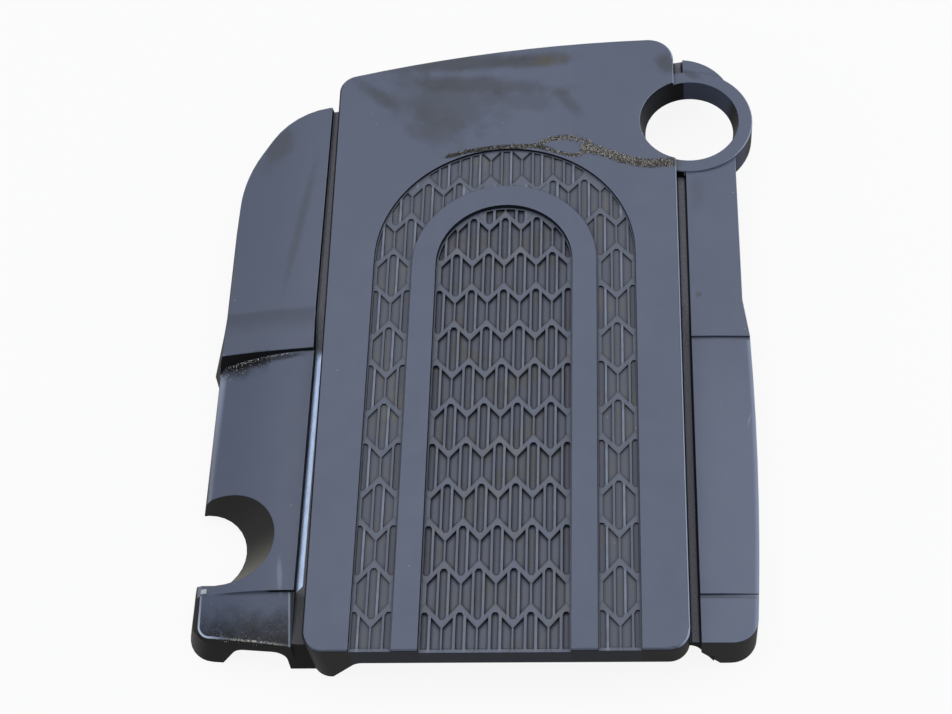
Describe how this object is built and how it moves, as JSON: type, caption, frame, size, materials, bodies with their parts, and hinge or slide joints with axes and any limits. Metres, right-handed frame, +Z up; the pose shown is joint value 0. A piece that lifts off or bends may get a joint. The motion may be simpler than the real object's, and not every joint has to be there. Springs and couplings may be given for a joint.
{
  "type": "engine cover",
  "caption": "Moulded plastic cover that clips over an engine's top, with a raised plate, arched lattice recesses, side wings, a filler hole, a side notch and stud bushes below.",
  "frame": {"origin": "centre of the bounding box's underside, on the plane that the skirt's feet stand on", "axes": "+Z up out of the plate, +Y towards the rear edge beside the filler hole, +X towards the filler hole's side"},
  "size_m": [0.4282, 0.5386, 0.05],
  "materials": {
    "moulded_plastic": "satin moulded, dusty",
    "grommet_rubber": "matt moulded rubber"
  },
  "bodies": {
    "root": {"cover_shell": "moulded_plastic", "stud_grommets": "grommet_rubber"}
  },
  "joints": []
}
